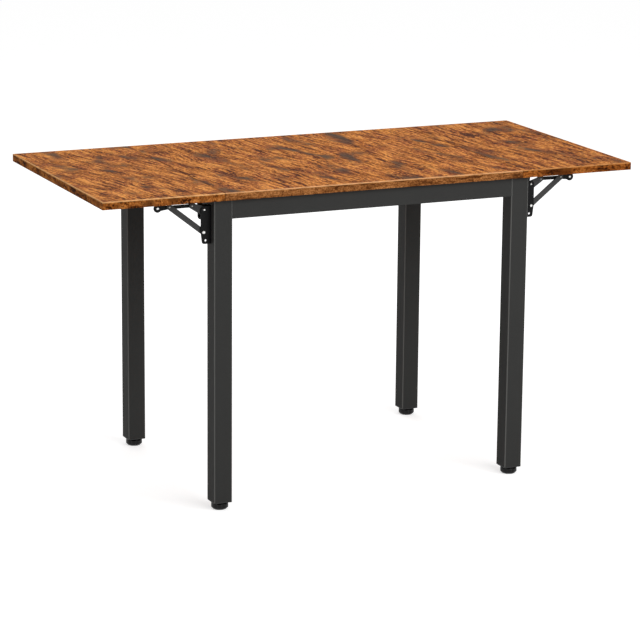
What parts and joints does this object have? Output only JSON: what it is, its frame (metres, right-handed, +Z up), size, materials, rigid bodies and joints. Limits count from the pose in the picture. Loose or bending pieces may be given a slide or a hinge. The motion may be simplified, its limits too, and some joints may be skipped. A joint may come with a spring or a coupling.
{
  "type": "drop-leaf dining table",
  "caption": "Dining table on square steel legs, with a rustic wood top whose end leaves fold down on sprung-lever folding brackets.",
  "frame": {"origin": "on the floor under the middle of the table", "axes": "+X along the table towards the right leaf, +Y to the rear, +Z up"},
  "size_m": [1.34, 0.64, 0.75],
  "materials": {
    "centre_board": "rustic print, satin",
    "left_board": "rustic print, satin",
    "right_board": "rustic print, satin",
    "frame_steel": "fine matt powder coat",
    "bracket_black": "satin black coat",
    "bracket_grey": "satin grey coat",
    "rivet_steel": "bright zinc",
    "screw_steel": "zinc",
    "stud_steel": "zinc",
    "plug_plastic": "moulded",
    "foot_plastic": "moulded, glossy"
  },
  "bodies": {
    "frame": {"centre_panel": "centre_board", "front_apron": "frame_steel", "rear_apron": "frame_steel", "left_side_rail": "frame_steel", "right_side_rail": "frame_steel", "corner_gussets": "frame_steel", "leg_caps": "frame_steel", "frame_pivot_rivets": "rivet_steel", "channel_screws": "screw_steel", "top_screws": "screw_steel", "front_left_leg": "frame_steel", "front_left_leg_plug": "plug_plastic", "front_left_channel": "bracket_black", "front_right_leg": "frame_steel", "front_right_leg_plug": "plug_plastic", "front_right_channel": "bracket_black", "rear_left_leg": "frame_steel", "rear_left_leg_plug": "plug_plastic", "rear_left_channel": "bracket_black", "rear_right_leg": "frame_steel", "rear_right_leg_plug": "plug_plastic", "rear_right_channel": "bracket_black"},
    "left_leaf": {"left_leaf": "left_board", "left_lever_rivets": "rivet_steel", "left_arm_screws": "screw_steel", "front_left_arm": "bracket_black", "front_left_hinge_brace": "bracket_grey", "rear_left_arm": "bracket_black", "rear_left_hinge_brace": "bracket_grey"},
    "right_leaf": {"right_leaf": "right_board", "right_lever_rivets": "rivet_steel", "right_arm_screws": "screw_steel", "front_right_arm": "bracket_black", "front_right_hinge_brace": "bracket_grey", "rear_right_arm": "bracket_black", "rear_right_hinge_brace": "bracket_grey"},
    "front_left_strut": {"front_left_strut": "bracket_grey", "front_left_strut_rivet": "rivet_steel"},
    "front_left_lever": {"front_left_release_lever": "bracket_black", "front_left_lever_knob": "rivet_steel"},
    "front_left_foot": {"front_left_foot_pad": "foot_plastic", "front_left_foot_stud": "stud_steel"},
    "front_right_strut": {"front_right_strut": "bracket_grey", "front_right_strut_rivet": "rivet_steel"},
    "front_right_lever": {"front_right_release_lever": "bracket_black", "front_right_lever_knob": "rivet_steel"},
    "front_right_foot": {"front_right_foot_pad": "foot_plastic", "front_right_foot_stud": "stud_steel"},
    "rear_left_strut": {"rear_left_strut": "bracket_grey", "rear_left_strut_rivet": "rivet_steel"},
    "rear_left_lever": {"rear_left_release_lever": "bracket_black", "rear_left_lever_knob": "rivet_steel"},
    "rear_left_foot": {"rear_left_foot_pad": "foot_plastic", "rear_left_foot_stud": "stud_steel"},
    "rear_right_strut": {"rear_right_strut": "bracket_grey", "rear_right_strut_rivet": "rivet_steel"},
    "rear_right_lever": {"rear_right_release_lever": "bracket_black", "rear_right_lever_knob": "rivet_steel"},
    "rear_right_foot": {"rear_right_foot_pad": "foot_plastic", "rear_right_foot_stud": "stud_steel"}
  },
  "joints": [
    {"name": "left_leaf_fold", "type": "hinge", "parent": "frame", "child": "left_leaf", "pos_m": [-0.4165, 0, 0.709], "axis": [0, -1, 0], "range_deg": [0, 90]},
    {"name": "right_leaf_fold", "type": "hinge", "parent": "frame", "child": "right_leaf", "pos_m": [0.4165, 0, 0.709], "axis": [0, 1, 0], "range_deg": [0, 90]},
    {"name": "front_left_strut_swing", "type": "hinge", "parent": "frame", "child": "front_left_strut", "pos_m": [-0.418, -0.2765, 0.657], "axis": [0, -1, 0], "range_deg": [0, 128]},
    {"name": "front_left_lever_press", "type": "hinge", "parent": "left_leaf", "child": "front_left_lever", "pos_m": [-0.4445, -0.2765, 0.7186], "axis": [0, -1, 0], "range_deg": [0, 8], "stiffness_Nm_per_rad": 0.4, "springref_deg": -14.32},
    {"name": "front_left_foot_screw", "type": "slide", "parent": "frame", "child": "front_left_foot", "axis": [0, 0, -1], "range_m": [0, 0.01]},
    {"name": "front_right_strut_swing", "type": "hinge", "parent": "frame", "child": "front_right_strut", "pos_m": [0.418, -0.2765, 0.657], "axis": [0, 1, 0], "range_deg": [0, 128]},
    {"name": "front_right_lever_press", "type": "hinge", "parent": "right_leaf", "child": "front_right_lever", "pos_m": [0.4445, -0.2765, 0.7186], "axis": [0, 1, 0], "range_deg": [0, 8], "stiffness_Nm_per_rad": 0.4, "springref_deg": -14.32},
    {"name": "front_right_foot_screw", "type": "slide", "parent": "frame", "child": "front_right_foot", "axis": [0, 0, -1], "range_m": [0, 0.01]},
    {"name": "rear_left_strut_swing", "type": "hinge", "parent": "frame", "child": "rear_left_strut", "pos_m": [-0.418, 0.2945, 0.657], "axis": [0, -1, 0], "range_deg": [0, 128]},
    {"name": "rear_left_lever_press", "type": "hinge", "parent": "left_leaf", "child": "rear_left_lever", "pos_m": [-0.4445, 0.2945, 0.7186], "axis": [0, -1, 0], "range_deg": [0, 8], "stiffness_Nm_per_rad": 0.4, "springref_deg": -14.32},
    {"name": "rear_left_foot_screw", "type": "slide", "parent": "frame", "child": "rear_left_foot", "axis": [0, 0, -1], "range_m": [0, 0.01]},
    {"name": "rear_right_strut_swing", "type": "hinge", "parent": "frame", "child": "rear_right_strut", "pos_m": [0.418, 0.2945, 0.657], "axis": [0, 1, 0], "range_deg": [0, 128]},
    {"name": "rear_right_lever_press", "type": "hinge", "parent": "right_leaf", "child": "rear_right_lever", "pos_m": [0.4445, 0.2945, 0.7186], "axis": [0, 1, 0], "range_deg": [0, 8], "stiffness_Nm_per_rad": 0.4, "springref_deg": -14.32},
    {"name": "rear_right_foot_screw", "type": "slide", "parent": "frame", "child": "rear_right_foot", "axis": [0, 0, -1], "range_m": [0, 0.01]}
  ],
  "couplings": [
    {"joint": "front_left_strut_swing", "follows": "left_leaf_fold", "ratio": 1.42},
    {"joint": "front_right_strut_swing", "follows": "right_leaf_fold", "ratio": 1.42},
    {"joint": "rear_left_strut_swing", "follows": "left_leaf_fold", "ratio": 1.42},
    {"joint": "rear_right_strut_swing", "follows": "right_leaf_fold", "ratio": 1.42}
  ]
}
